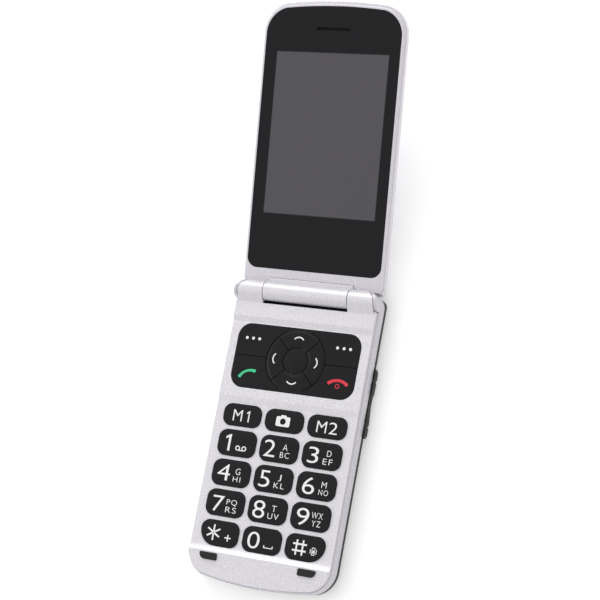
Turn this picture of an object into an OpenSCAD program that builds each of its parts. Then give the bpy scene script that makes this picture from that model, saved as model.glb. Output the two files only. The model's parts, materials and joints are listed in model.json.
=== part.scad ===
// Clamshell phone with large keys, open, lying on its back. Millimetres.
// Origin: centre of the base's flat back. +X to the right of the keys, +Y from chin to hinge,
// +Z out of the keys. The lid is modelled in its own frame, along +Y from the hinge axis with its
// inner face up, and is then tilted about the axis.

/* [Base outline] */
// Width over the silver band
base_w = 54.8; // [54:0.2:57]
// Length from the hinge end wall to the middle of the chin
base_l = 106.8; // [105.8:0.2:108]
// Radius of the base's two corners at the chin
chin_corner_r = 9.2; // [8:0.2:10]
// Radius of the base's two corners at the hinge
hinge_corner_r = 5; // [4.6:0.1:5.4]
// Radius of the slight bow of the chin's edge
chin_bow_r = 120; // [110:5:160]

/* [Base layers] */
// Height of the black rear housing
housing_h = 4.9; // [4.8:0.1:5.2]
// Height of the silver band above it
band_h = 4.1; // [4:0.1:4.4]
// Keypad floor above the band
floor_up = 0.8; // [0.7:0.1:1]
// Black panel's plateau above the keypad floor
panel_up = 0.6; // [0.5:0.1:0.8]
// Hinge plateau above the panel's plateau
hinge_up = 0.8; // [0.6:0.1:0.9]
// Ridge of the chin above the keypad floor
ridge_up = 1; // [0.9:0.1:1.2]
// Rounding of the housing's back edge
back_edge_r = 3.4; // [3:0.1:3.6]
// Step from the band's side in to the front cover's side
cover_step = 0.65; // [0.5:0.05:0.8]
// Wall of the front cover
cover_t = 1.1; // [1:0.05:1.2]
// Wall of the band
band_t = 1.2; // [1.1:0.05:1.4]
// Thickness of the battery cover
battery_cover_t = 1.1; // [1:0.1:1.2]

/* [Keys] */
// Distance between key columns
column_pitch = 16.28; // [16.1:0.02:16.5]
// Distance between the number rows
row_pitch = 10.6; // [10.4:0.05:10.8]
// Width of a key
key_w = 14.5; // [14.2:0.1:14.7]
// Height of a number key
key_h = 9.1; // [8.8:0.1:9.3]
// Height of the short keys of the first row
short_key_h = 7.7; // [7.2:0.1:8]
// Corner radius of a key
key_r = 3; // [2:0.1:3.4]
// Radius of the outer lower corners of the star and hash keys
swept_key_r = 5.7; // [4.5:0.1:6]
// How far a key stands out of the keypad floor
key_proud = 0.7; // [0.5:0.05:0.8]
// Crown of a key from its edge to its middle
key_crown = 0.3; // [0.1:0.05:0.4]
// Gap round a key in its opening
key_gap = 0.15; // [0.12:0.01:0.18]
// Travel of a key
key_travel = 0.3; // [0.2:0.05:0.3]

/* [Black panel] */
// Width of the panel of function keys
panel_w = 47.2; // [46.4:0.2:47.6]
// Height of the panel
panel_h = 23; // [22.6:0.1:23.4]
// Corner radius of the panel
panel_r = 4.8; // [4:0.2:5.4]
// Radius of the ring of direction keys
ring_r = 11.1; // [10.6:0.1:11.2]
// Radius of the centre key
ok_r = 4.6; // [4.2:0.1:5]
// Seam between neighbouring keys of the panel
panel_seam = 0.25; // [0.2:0.01:0.3]

/* [Hinge] */
// Angle between the key face and the display face when open
open_angle = 166.1; // [160:0.1:170]
// Radius of the hinge barrel
barrel_r = 3.5; // [3.4:0.05:3.6]
// Half length of the centre barrel
barrel_half = 16.1; // [15.5:0.1:16.5]
// Hinge axis above the band
axis_up = 1.3; // [1.2:0.1:1.5]
// Hinge axis in from the base's end wall
axis_in = 3.2; // [3.1:0.1:3.3]
// Radius of the spring cartridge in the right knuckle
cartridge_r = 2.5; // [2.3:0.1:2.6]
// Radius of the cartridge's shaft
shaft_r = 1.5; // [1.3:0.1:1.7]
// Radius of the hollow sleeve in the left knuckle
sleeve_r = 2.4; // [2.2:0.1:2.5]
// Radial running clearance in the barrel's bores
running_gap = 0.05; // [0.03:0.01:0.08]

/* [Lid] */
// Width of the lid's outer cover
lid_w = 54.6; // [54.2:0.2:56]
// Length of the lid from the hinge axis to its far end
lid_l = 103.8; // [103:0.2:106]
// Thickness of the lid
lid_t = 6.8; // [6.6:0.1:7.4]
// Display face below the hinge axis
face_drop = 2.2; // [2.1:0.1:2.4]
// Depth of the inner half of the lid
bezel_t = 1.4; // [1.3:0.1:1.6]
// Radius of the lid's far corners
lid_corner_r = 10.6; // [9.5:0.1:11.5]
// Rounding of the lid's outer edge
lid_edge_r = 4.2; // [3.6:0.1:4.6]
// Width of the window
window_w = 51.7; // [51:0.1:52]
// Thickness of the window
window_t = 1; // [0.8:0.1:1.1]
// Width of the visible display
screen_w = 43.2; // [42:0.2:44]
// Height of the visible display
screen_h = 57.6; // [56:0.2:59]

/* [Side rocker] */
// Length of the volume rocker
rocker_l = 24.2; // [22:0.2:26]
// Height of the volume rocker
rocker_h = 2.6; // [2.4:0.1:2.7]
// How far the rocker stands out of the housing's side
rocker_proud = 0.85; // [0.6:0.05:1]

/* [Battery and board] */
// Width of the battery
battery_w = 34; // [30:1:36]
// Length of the battery
battery_l = 53; // [48:1:54]
// Thickness of the battery
battery_t = 4.3; // [4:0.1:4.4]
// Thickness of the main board
board_t = 0.8; // [0.6:0.1:0.9]

/* [Hidden] */
$fn = 64;

silver = [0.80, 0.79, 0.81];
black = [0.11, 0.11, 0.12];
steel = [0.68, 0.69, 0.70];
gold = [0.82, 0.66, 0.32];
board_green = [0.10, 0.32, 0.20];
ribbon_amber = [0.72, 0.42, 0.10];
window_black = [0.07, 0.07, 0.08];
screen_grey = [0.33, 0.33, 0.35];
cell_grey = [0.30, 0.32, 0.36];

eps = 0.01;
seat_gap = 0.1;          // loose fit between parts of one assembly
moving_gap = 0.25;       // clearance round the lid's lower end
far = 200;               // longer than the phone, for cutting blocks

// Base: places along Y, measured from the hinge axis
base_top = base_l / 2;
base_bottom = -base_l / 2;
axis_y = base_top - axis_in;
panel_step_top = axis_y - 9.9;
panel_step_low = axis_y - 11.8;
keypad_step_top = axis_y - 38.8;
keypad_step_low = axis_y - 41;
ridge_y = axis_y - 93.5;
panel_y = axis_y - 23.85;
short_row_y = axis_y - 45.3;
first_row_y = axis_y - 55.25;
last_row_y = first_row_y - 3 * row_pitch;
bumper_y = ridge_y - 1.75;
barrel_slot_y = axis_y - 4.75;

// Base: heights
band_top = housing_h + band_h;
floor_z = band_top + floor_up;
panel_z = floor_z + panel_up;
plateau_z = panel_z + hinge_up;
ridge_z = floor_z + ridge_up;
key_top = floor_z + key_proud;
chin_z = band_top + 0.25;
axis_z = band_top + axis_up;
chin_drop_y = ridge_y - base_bottom;

// Inside stack of the base
tray_top = housing_h + 1.5;
tray_inset = band_t + 0.15;
bay_top = battery_cover_t + battery_t + 0.1;
board_z = tray_top + 0.3;
board_top = board_z + board_t;
board_inset = 2.2;
board_end = axis_y - barrel_r - 1.9;
sheet_t = 0.12;
dome_h = 0.18;
dome_r = 2.6;
press_gap = 0.05;
stem_z = board_top + sheet_t + dome_h + key_travel + press_gap;
lip_w = 0.35;
lip_gap = 0.1;

// Battery cover and what shows through it
cover_inset = back_edge_r + 0.9;
camera_y = axis_y - 18;
camera_r = 3.4;
camera_ring_r = 4.6;
speaker_x = 12.9 - base_w / 2;
speaker_y = camera_y;
speaker_w = 15;
speaker_l = 11;
slot_count = 5;
slot_pitch = 2;
slot_w = 0.9;
slot_l = 8;
battery_y = base_bottom + 9.4 + battery_l / 2;
contacts_y = battery_y + battery_l / 2 + 2.4;
motor_r = 4.6;
motor_x = base_w / 2 - 12.9;
mic_r = 2;
mic_x = 8;
mic_y = base_bottom + 4.6;
socket_x = -1.5;
socket_w = 7.8;
socket_h = 2.7;
socket_l = 5.2;
recess_w = 12.6;
recess_h = 3.6;
recess_d = 0.7;

// Case screws
screw_x = base_w / 2 - 5.9;
screw_low_y = base_bottom + 7;
screw_high_y = axis_y - 8.7;
screw_head_r = 1.5;
screw_head_h = 1;
screw_r = 0.8;
boss_r = 1.9;

// Hinge
knuckle_start = barrel_half + 0.3;
ear_t = 1.1;
slit = 0.25;
knuckle_half = base_w / 2 - ear_t - slit;
cartridge_end = knuckle_half - 2.9;
shaft_end = 5;
sleeve_end = 7;
sleeve_bore = 1.8;
trough_r = barrel_r + 0.35;
wall_top = axis_z - sqrt(pow(trough_r, 2) - pow(axis_in, 2));
ribbon_turn = 3.8;
ribbon_w_top = face_drop * -1;
ribbon_t = 0.2;
ribbon_w = 2.6;
ribbon_x = cartridge_end + 0.6;

// Rocker
rocker_y = axis_y - 34.5;
rocker_z = housing_h - 0.3 - rocker_h / 2;
housing_side = base_w / 2 - 0.1;
rocker_face = housing_side + rocker_proud;
rocker_wall = 1.3;
rocker_tilt_room = 0.45;
rocker_rib_r = 0.9;
rocker_pivot_x = housing_side - rocker_wall - seat_gap;
switch_x = rocker_pivot_x - 2.2;

// Lid, in its own frame: face at lid_face, back at lid_back
lid_face = -face_drop;
lid_back = lid_face - lid_t;
bezel_back = lid_face - bezel_t;
lid_tilt = 180 - open_angle;
lid_low = 0.7;
lid_low_r = 5;
lid_bow_r = 181;
bezel_in = 0.45;
bezel_far = lid_l - 1.2;
lid_wall = 1;
window_low = 8;
window_far = bezel_far - 0.95;
window_corner_r = 9.3;
window_low_r = 3.8;
window_gap = 0.05;
ledge_w = 1.4;
glue = 0.05;
ledge_z = lid_face - window_t - glue;
screen_y = 56.5;
module_side = 2.4;
module_low = 4.8;
module_far = 5.8;
module_t = 2.1;
slot_y = 93.6;
slot_half = 6.5;
slot_h = 1;
neck_z = lid_face + 0.6;
neck_end = 4.8;
neck_back = -6.4;
tongue_end = 8;
tongue_top = bezel_back - 0.8;
lid_screw_x = lid_w / 2 - 5.7;
lid_screw_low = 13.5;
lid_screw_far = 94.6;
lid_screw_r = 0.7;
lid_screw_head_r = 1.3;
lid_screw_head_h = 0.5;
lid_boss_r = 1.6;
lid_floor = lid_back + lid_wall;
lid_wall_in = 2.2;

// ---------------------------------------------------------------- shared forms

// Corner centre at the bowed end: just past the point where its circle would touch the bow
// inside, so that the two cross at a few degrees; kept to hundredths
function corner_y(w, y_low, rb, bow) =
    floor(100 * (y_low + bow - sqrt(pow(bow - rb, 2) - pow(w / 2 - rb, 2)) - 0.08)) / 100;

// Wedge from the two corner centres down past the bow
module chin_wedge(w, y_low, rb, bow) {
    cx = w / 2 - rb;
    cy = corner_y(w, y_low, rb, bow);
    reach = rb + 3;
    lean = asin(cx / (bow - rb));
    polygon([
        [-cx, cy + 1], [-cx, cy], [-cx - reach * sin(lean), cy - reach * cos(lean)],
        [cx + reach * sin(lean), cy - reach * cos(lean)], [cx, cy], [cx, cy + 1]
    ]);
}

// Plan of a case half: straight end at y_top with corners rs, bowed end at y_low with corners rb
module case_plan(w, y_top, y_low, rs, rb, bow, inset = 0) {
    cy = corner_y(w, y_low, rb, bow);
    half = w / 2 - inset;
    rsi = max(rs - inset, 0.2);
    intersection() {
        translate([0, y_low + bow]) circle(bow - inset, $fn = 360);
        union() {
            translate([-half, cy]) square([2 * half, y_top - inset - rsi - cy]);
            translate([rsi - half, cy]) square([2 * (half - rsi), y_top - inset - cy]);
            chin_wedge(w, y_low, rb, bow);
            for (side = [-1, 1]) {
                translate([side * (half - rsi), y_top - inset - rsi]) circle(rsi);
                translate([side * (w / 2 - rb), cy]) circle(rb - inset);
            }
        }
    }
}

// Solid with that outline from z0 to z1, whose edge follows a profile (x out from the outline, y
// up) that reaches in by $reach. The profile is swept along the sides and round the bowed end, and
// cut straight across at the other end.
module case_solid(w, y_top, y_low, rs, rb, bow, inner, z0, z1) {
    cx = w / 2 - rb;
    cy = corner_y(w, y_low, rb, bow);
    h = z1 - z0;
    rc = rb - inner + 0.1;
    difference() {
        intersection() {
            let ($reach = inner) {
                for (side = [0, 1]) mirror([side, 0, 0]) {
                    translate([w / 2, y_top, 0]) rotate([90, 0, 0]) linear_extrude(y_top - cy) children();
                    translate([cx, cy, 0]) mirror([0, 1, 0])
                        rotate_extrude(angle = 90) translate([rb, 0]) children();
                }
                translate([0, 0, z0]) linear_extrude(h) {
                    translate([-cx - rc, cy]) square([2 * (cx + rc), y_top + 1 - cy]);
                    chin_wedge(w, y_low, rb, bow);
                    for (side = [-1, 1]) translate([side * cx, cy]) circle(rc);
                }
            }
            translate([0, 0, z0 - 1]) linear_extrude(h + 2) {
                translate([-far / 2, y_top - rs - far]) square(far);
                translate([rs - w / 2, y_top - rs - 1]) square([w - 2 * rs, far]);
                for (side = [-1, 1]) translate([side * (w / 2 - rs), y_top - rs]) circle(rs);
            }
            let ($reach = far)
                translate([-far / 2, y_top, 0]) rotate([90, 0, 90]) linear_extrude(far) children();
        }
        // all that lies outside the bow
        let ($reach = 3 * inner)
            translate([0, y_low + bow, 0]) rotate_extrude($fn = 360) translate([bow, 0]) difference() {
                translate([-inner, z0 - 1]) square([inner + 20, h + 2]);
                children();
            }
    }
}

module base_plan(inset = 0) {
    case_plan(base_w, base_top, base_bottom, hinge_corner_r, chin_corner_r, chin_bow_r, inset);
}

module base_slab(z0, z1, inset) {
    translate([0, 0, z0]) linear_extrude(z1 - z0) base_plan(inset);
}

// The lid's outlines run the other way: bowed at the far end
module lid_plan(w, low, far_end, r_low, r_far, inset = 0) {
    mirror([0, 1]) case_plan(w, -low, -far_end, r_low, r_far, lid_bow_r, inset);
}

module lid_place() {
    translate([0, axis_y, axis_z]) rotate([lid_tilt, 0, 0]) children();
}

// Rectangle with its own radius at each corner: right top, left top, left low, right low
module soft_rect(w, h, r) {
    a = w / 2;
    b = h / 2;
    polygon([
        [a, b - r[0]], [a - r[0], b], [r[1] - a, b], [-a, b - r[1]],
        [-a, r[2] - b], [r[2] - a, -b], [a - r[3], -b], [a, r[3] - b]
    ]);
    translate([a, b]) corner_disc(1, 1, r[0], b);
    translate([-a, b]) corner_disc(-1, 1, r[1], b);
    translate([-a, -b]) corner_disc(-1, -1, r[2], b);
    translate([a, -b]) corner_disc(1, -1, r[3], b);
}

// Disc in the corner on the side (sx, sy); one rounder than half the height keeps to its own corner
module corner_disc(sx, sy, r, half) {
    if (r <= half) translate([-sx * r, -sy * r]) circle(r);
    else intersection() {
        translate([-sx * r, -sy * r]) circle(r);
        translate([sx > 0 ? -r - 0.3 : 0, sy > 0 ? -r - 0.3 : 0]) square(r + 0.3);
    }
}

module block(x0, x1, y0, y1, z0, z1) {
    translate([x0, y0, z0]) cube([x1 - x0, y1 - y0, z1 - z0]);
}

// Cylinder along X about the hinge axis
module axis_rod(r, x0, x1) {
    translate([x0, axis_y, axis_z]) rotate([0, 90, 0]) cylinder(r = r, h = x1 - x0);
}

module both_sides() {
    children();
    mirror([1, 0, 0]) children();
}

// Radius of an arc with a given half width and rise
function crown_radius(half, rise) = (half * half + rise * rise) / (2 * rise);

// ---------------------------------------------------------------- base: cases

// Side view of the front cover's surface, lowered by drop, as a plate down to z = 0
module front_side(drop = 0) {
    rise_r = crown_radius(axis_y - 90.2 - ridge_y, ridge_up);
    difference() {
        polygon([
            [far, -far], [far, plateau_z - drop], [panel_step_top, plateau_z - drop],
            [panel_step_low, panel_z - drop], [keypad_step_top, panel_z - drop],
            [keypad_step_low, floor_z - drop], [ridge_y + 3.3, floor_z - drop],
            [ridge_y + 3.3, ridge_z - drop], [ridge_y, ridge_z - drop],
            [base_bottom, chin_z - drop], [-far, chin_z - drop], [-far, -far]
        ]);
        translate([ridge_y + 3.3, floor_z - drop + rise_r]) circle(rise_r, $fn = 128);
    }
}

module front_side_block(drop = 0) {
    translate([-far / 2, 0, 0]) rotate([90, 0, 90]) linear_extrude(far) front_side(drop);
}

// Side view of a hinge knuckle: the barrel's circle and the skirt that runs from it to the plateau
module knuckle_side() {
    foot = [-4.7, plateau_z - axis_z];
    reach = norm(foot);
    turn = atan2(foot[1], foot[0]) - acos(barrel_r / reach);
    touch = barrel_r * [cos(turn), sin(turn)];
    circle(barrel_r);
    polygon([[0, 0], touch, foot, [foot[0], foot[1] - cover_t], [-barrel_r, foot[1] - cover_t]]);
}

module knuckle_plan(grow = 0) {
    case_plan(2 * knuckle_half + 2 * grow, axis_y + barrel_r + grow, base_bottom,
              hinge_corner_r + grow, chin_corner_r, chin_bow_r);
}

module knuckles() {
    intersection() {
        translate([-far / 2, axis_y, axis_z]) rotate([90, 0, 90]) linear_extrude(far) knuckle_side();
        linear_extrude(far) knuckle_plan();
        both_sides() block(knuckle_start, far, 0, far, 0, far);
    }
}

function column_x(i) = (i - 1) * column_pitch;
function row_y(j) = j == 0 ? short_row_y : first_row_y - (j - 1) * row_pitch;
function row_h(j) = j == 0 ? short_key_h : j == 4 ? key_h - 0.4 : key_h;
function key_radii(i, j) = [
    key_r, key_r,
    i == 0 && j == 4 ? swept_key_r : key_r,
    i == 2 && j == 4 ? swept_key_r : key_r
];

module key_plan(i, j, grow = 0) {
    translate([column_x(i), row_y(j)])
        soft_rect(key_w + 2 * grow, row_h(j) + 2 * grow, [for (r = key_radii(i, j)) r + grow]);
}

module panel_plan(grow = 0) {
    translate([0, panel_y]) soft_rect(panel_w + 2 * grow, panel_h + 2 * grow,
                                      [for (k = [0 : 3]) panel_r + grow]);
}

module key_openings() {
    linear_extrude(far) {
        for (i = [0 : 2], j = [0 : 4]) key_plan(i, j, key_gap);
        panel_plan(key_gap);
    }
}

bumper_x = 18.7;
bumper_w = 6.6;
bumper_h = 2.4;
bumper_top = ridge_z + 0.2;
bumper_floor = ridge_z - 0.9;

module bumper_plan(grow = 0) {
    translate([bumper_x, bumper_y]) soft_rect(bumper_w + 2 * grow, bumper_h + 2 * grow,
        [0.5 + grow, 0.5 + grow, 0.5 + grow, 2 + grow]);
}

module front_cover() {
    color(silver) difference() {
        union() {
            difference() {
                intersection() {
                    union() {
                        base_slab(band_top, far, cover_step);
                        base_slab(floor_z - cover_t, band_top + eps, tray_inset);
                    }
                    front_side_block();
                }
                // hollow under the higher steps
                intersection() {
                    base_slab(floor_z - cover_t - eps, far, tray_inset + 0.9);
                    front_side_block(cover_t);
                }
                axis_rod(barrel_r + slit, -far / 2, far / 2);
                block(-knuckle_start, knuckle_start, barrel_slot_y, far, 0, far);
            }
            knuckles();
            both_sides() {
                translate([screw_x, screw_low_y, board_top + seat_gap])
                    cylinder(r = boss_r, h = chin_z - board_top - 0.4);
                translate([screw_x, screw_high_y, board_top + seat_gap])
                    cylinder(r = boss_r, h = plateau_z - board_top - 0.5);
            }
        }
        key_openings();
        both_sides() {
            translate([0, 0, bumper_floor]) linear_extrude(far) bumper_plan(0.05);
            for (y = [screw_low_y, screw_high_y])
                translate([screw_x, y, 0]) cylinder(r = screw_r + 0.02, h = screw_tip + seat_gap);
        }
        axis_rod(cartridge_r + 0.02, knuckle_start - eps, cartridge_end + seat_gap);
        mirror([1, 0, 0]) axis_rod(sleeve_r + 0.02, knuckle_start - eps, ribbon_x + seat_gap);
        ribbon_slot();
    }
}

screw_tip = chin_z - 0.6;

// Way for the ribbon from the left knuckle's bore down to the board
module ribbon_slot() {
    block(-ribbon_x - seat_gap, -ribbon_x + 0.9, axis_y - 6.5, axis_y + ribbon_w / 2 + 0.2,
          board_top - 0.1, axis_z);
}

// Closed ring with a rounded upper edge, and an ear that caps each knuckle
module band_edge() {
    difference() {
        translate([-$reach, housing_h]) square([$reach, band_h]);
        translate([0, band_top]) mirror([0, 1]) edge_cut(0.45, 0);
    }
}

module mid_frame() {
    color(silver) difference() {
        union() {
            difference() {
                case_solid(base_w, base_top, base_bottom, hinge_corner_r, chin_corner_r, chin_bow_r,
                           2, housing_h, band_top) band_edge();
                base_slab(housing_h - 1, far, band_t);
                intersection() {
                    axis_rod(barrel_r + eps, -far / 2, far / 2);
                    linear_extrude(far) knuckle_plan(slit);
                }
            }
            intersection() {
                axis_rod(barrel_r, -far / 2, far / 2);
                linear_extrude(far) difference() {
                    case_plan(base_w, axis_y + barrel_r, base_bottom, hinge_corner_r, chin_corner_r,
                              chin_bow_r);
                    knuckle_plan(slit);
                    square([2 * (knuckle_half - hinge_corner_r), far], center = true);
                    translate([-far / 2, -far]) square([far, far + axis_y - barrel_r]);
                }
                translate([-far / 2, -far / 2, housing_h]) cube(far);
            }
        }
        axis_rod(trough_r, -knuckle_start, knuckle_start);
        socket_way();
    }
}

// Recess in the chin end round the charging socket, and the socket's own way in
module socket_way() {
    end_y = base_bottom - 1;
    translate([socket_x, 0, socket_z])
        rotate([90, 0, 0]) translate([0, 0, -base_bottom - recess_d]) linear_extrude(recess_d + 1)
            soft_rect(recess_w, recess_h, [for (k = [0 : 3]) recess_h / 2 - eps]);
    block(socket_x - socket_w / 2 - 0.1, socket_x + socket_w / 2 + 0.1, end_y, base_bottom + 7,
          socket_z - socket_h / 2 - 0.1, board_z);
}

socket_z = board_z - socket_h / 2;

// Black tub with rounded back edges and, above its rim, the tray that carries the board
module rear_housing() {
    color(black) difference() {
        union() {
            difference() {
                case_solid(2 * housing_side, base_top - 0.1, base_bottom + 0.1, hinge_corner_r - 0.1,
                           chin_corner_r - 0.1, chin_bow_r - 0.1, back_edge_r + 0.7, 0, housing_h)
                    housing_edge();
                base_slab(battery_cover_t, far, tray_inset + 0.35);
            }
            base_slab(battery_cover_t, tray_top, tray_inset);
            for (p = board_rests) translate([p[0], p[1], tray_top - eps])
                cylinder(r = 1.6, h = board_z - tray_top + eps);
        }
        // recess of the battery cover
        base_slab(-1, battery_cover_t, cover_inset);
        // battery bay
        translate([0, battery_y, -1]) linear_extrude(bay_top + 1)
            soft_rect(battery_w + 0.4, battery_l + 0.4, [1.6, 1.6, 1.6, 1.6]);
        bay_contacts_way();
        translate([0, battery_y + 12, bay_top - eps]) linear_extrude(far) square([17, 16], center = true);
        // loudspeaker, camera and motor pockets
        block(speaker_x - speaker_w / 2 - 0.1, speaker_x + speaker_w / 2 + 0.1,
              speaker_y - speaker_l / 2 - 0.1, speaker_y + speaker_l / 2 + 0.1, -1, 5);
        translate([0, camera_y, -1]) cylinder(r = camera_ring_r - 0.8, h = 6.6);
        translate([motor_x, camera_y, board_z - 3]) cylinder(r = motor_r + 0.1, h = 4);
        // hollows above the tray's floor beside the bay
        both_sides() block(battery_w / 2 + 1.4, base_w / 2 - 6.2, base_bottom + 14, axis_y - 28, 2.4, far);
        block(-20, 20, axis_y - 9, axis_y - 6, 2.4, far);
        rocker_pocket();
        socket_way();
        axis_rod(trough_r, -far / 2, far / 2);
        both_sides() for (y = [screw_low_y, screw_high_y]) translate([screw_x, y, 0]) {
            cylinder(r = screw_r + seat_gap, h = far);
            cylinder(r = screw_head_r + seat_gap, h = battery_cover_t + screw_head_h);
        }
    }
}

board_rests = [
    for (s = [-1, 1], y = [screw_low_y, screw_high_y]) [s * (screw_x - 3.4), y],
    [-22, 0], [22, -8]
];

// Section of the tub's side: upright above, a quarter round below
module housing_edge() {
    difference() {
        translate([-$reach, 0]) square([$reach, housing_h]);
        edge_cut(back_edge_r, 0);
    }
}

module bay_contacts_way() {
    block(-5.1, 5.1, contacts_y - 2.5, contacts_y + 1.7, 2.4, far);
}

// Opening and pocket of the volume rocker in the housing's right side
module rocker_pocket() {
    h = rocker_h / 2 + 0.15;
    block(rocker_pivot_x - 3.4, housing_side - rocker_wall, rocker_y - rocker_l / 2 - 1.4,
          rocker_y + rocker_l / 2 + 1.4, rocker_z - h, rocker_z + h);
    block(rocker_pivot_x, far, rocker_y - rocker_l / 2 - 0.2, rocker_y + rocker_l / 2 + 0.2,
          rocker_z - h, rocker_z + h);
}

module battery_cover() {
    color(black) difference() {
        base_slab(0, battery_cover_t, cover_inset + 0.12);
        translate([0, camera_y, -1]) cylinder(r = camera_ring_r + seat_gap, h = 4);
        for (k = [0 : slot_count - 1])
            translate([speaker_x, speaker_y + (k - (slot_count - 1) / 2) * slot_pitch, -1])
                linear_extrude(4) soft_rect(slot_l, slot_w, [for (c = [0 : 3]) slot_w / 2 - eps]);
        // thumbnail notch at the chin end
        translate([0, base_bottom + cover_inset - 1.2, -1.4]) rotate([0, 0, 0]) sphere(r = 3, $fn = 64);
    }
}

module battery() {
    color(cell_grey) translate([0, battery_y, battery_cover_t])
        linear_extrude(battery_t) soft_rect(battery_w, battery_l, [1.4, 1.4, 1.4, 1.4]);
}

// Block of three sprung contacts on the board, reaching down to the battery's end
module battery_contacts() {
    color(gold) difference() {
        block(-5, 5, contacts_y - 1.6, contacts_y + 1.6, 2.5, board_z);
        for (x = [-2, 1]) block(x, x + 1, contacts_y - 2, contacts_y - 0.8, 2, board_z - 1.5);
    }
}

module main_board() {
    color(board_green) difference() {
        translate([0, 0, board_z]) linear_extrude(board_t) intersection() {
            base_plan(board_inset);
            translate([-far / 2, board_end - far]) square(far);
        }
        both_sides() for (y = [screw_low_y, screw_high_y])
            translate([screw_x, y, 0]) cylinder(r = screw_r + seat_gap, h = far);
    }
}

// Film over the board with a raised dome under every key
module dome_sheet() {
    color(steel) translate([0, 0, board_top]) {
        linear_extrude(sheet_t) difference() {
            intersection() {
                base_plan(board_inset + 0.3);
                translate([-far / 2, screw_high_y - 3.2 - far]) square(far);
            }
            both_sides() for (y = [screw_low_y, screw_high_y])
                translate([screw_x, y]) circle(boss_r + 0.3);
            translate([mic_x, mic_y]) circle(mic_r + 0.3);
        }
        for (p = dome_places) translate([p[0], p[1], 0]) cylinder(r = dome_r, h = sheet_t + dome_h);
    }
}

dome_places = concat(
    [for (i = [0 : 2], j = [0 : 4]) [column_x(i), row_y(j)]],
    [for (sx = [-1, 1], sy = [-1, 1]) [sx * 17.5, panel_y + sy * 6]],
    [for (a = [0 : 90 : 270]) [8 * cos(a), panel_y + 8 * sin(a)]],
    [[0, panel_y]]
);

// Card holder on the board's back, reached through the bay's ceiling
module sim_holder() {
    color(steel) difference() {
        block(-8, 8, battery_y + 4.5, battery_y + 19.5, bay_top + 0.1, board_z);
        block(-6.5, 6.5, battery_y + 4, battery_y + 18, bay_top + 0.35, bay_top + 0.95);
    }
}

// Shell of the charging socket with its tongue
module charge_socket() {
    back = base_bottom + recess_d + 0.4 + socket_l;
    color(steel) translate([socket_x, 0, socket_z]) {
        difference() {
            block(-socket_w / 2, socket_w / 2, back - socket_l, back, -socket_h / 2, socket_h / 2);
            block(0.4 - socket_w / 2, socket_w / 2 - 0.4, back - socket_l - 1, back - 0.6,
                  0.4 - socket_h / 2, socket_h / 2 - 0.4);
        }
        block(-1.9, 1.9, back - socket_l + 0.6, back, 0.05, 0.5);
    }
}

module microphone() {
    color(steel) translate([mic_x, mic_y, board_top]) cylinder(r = mic_r, h = 1);
}

module loudspeaker() {
    color(black) {
        block(speaker_x - speaker_w / 2, speaker_x + speaker_w / 2, speaker_y - speaker_l / 2,
              speaker_y + speaker_l / 2, battery_cover_t + 0.2, 4.7);
        translate([speaker_x, speaker_y, battery_cover_t]) linear_extrude(0.3)
            soft_rect(11, 8, [3.9, 3.9, 3.9, 3.9]);
    }
}

module vibration_motor() {
    color(steel) translate([motor_x, camera_y, board_z - 2.8]) cylinder(r = motor_r, h = 2.8);
}

// Bent strip aerial along the chin end of the board
module antenna() {
    color(gold) {
        block(6, 19, base_bottom + 8.6, base_bottom + 10.6, board_z - 0.3, board_z);
        block(6, 7.5, base_bottom + 8.6, base_bottom + 13, board_z - 0.3, board_z);
        block(17.5, 19, base_bottom + 8.6, base_bottom + 13, board_z - 0.3, board_z);
    }
}

module camera_module() {
    color(black) translate([0, camera_y, 0]) {
        translate([0, 0, 1.2]) cylinder(r = camera_r - 0.2, h = 3);
        translate([0, 0, 3.4]) linear_extrude(2) square(5, center = true);
    }
}

// Window over the camera in its raised ring
module camera_window() {
    color(window_black) translate([0, camera_y, 0]) difference() {
        translate([0, 0, 0.2]) cylinder(r = camera_ring_r, h = battery_cover_t - 0.2);
        translate([0, 0, -1]) cylinder(r = camera_r - 1.4, h = 1.6);
    }
}

// Two small switches behind the rocker's ends
module rocker_switches() {
    color(steel) for (s = [-1, 1]) translate([0, rocker_y + s * 8.5, rocker_z]) {
        block(switch_x - 1.1, switch_x, -2, 2, -1.1, 1.1);
        block(switch_x - eps, switch_x + 0.5, -0.9, 0.9, -0.7, 0.7);
    }
}

// Rocker bar seen from the front: two humps with a waist, and lips that hold it in the wall
module rocker_shape() {
    half = rocker_l / 2;
    x0 = rocker_pivot_x - 0.9;
    polygon([
        [x0, -half - 0.9], [x0, half + 0.9],
        [rocker_pivot_x - rocker_tilt_room, half + 0.9], [rocker_pivot_x - 0.35, half],
        [rocker_face - 0.45, half], [rocker_face - 0.05, half - 1], [rocker_face, half - 3.4],
        [rocker_face - 0.3, half - 3.9], [rocker_face - 0.3, half - 4.3],
        [rocker_face, half - 4.8], [rocker_face - 0.1, half - 8.4], [rocker_face - 0.45, 2.2],
        [rocker_face - 0.5, -1], [rocker_face - 0.1, 5.8 - half],
        [rocker_face - 0.05, 4.8 - half], [rocker_face - 0.3, 4.3 - half],
        [rocker_face - 0.3, 3.9 - half], [rocker_face, 3.4 - half],
        [rocker_face - 0.05, 1 - half], [rocker_face - 0.45, -half],
        [rocker_pivot_x - 0.35, -half], [rocker_pivot_x - rocker_tilt_room, -half - 0.9]
    ]);
}

module volume_rocker() {
    color(black) translate([0, rocker_y, rocker_z - rocker_h / 2]) {
        linear_extrude(rocker_h) rocker_shape();
        // rib on the back, about which the rocker tilts
        translate([rocker_pivot_x - 0.35, 0, 0]) cylinder(r = rocker_rib_r, h = rocker_h);
    }
}

module lid_bumpers() {
    color(black) both_sides() translate([0, 0, bumper_floor]) linear_extrude(bumper_top - bumper_floor)
        bumper_plan();
}

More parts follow.
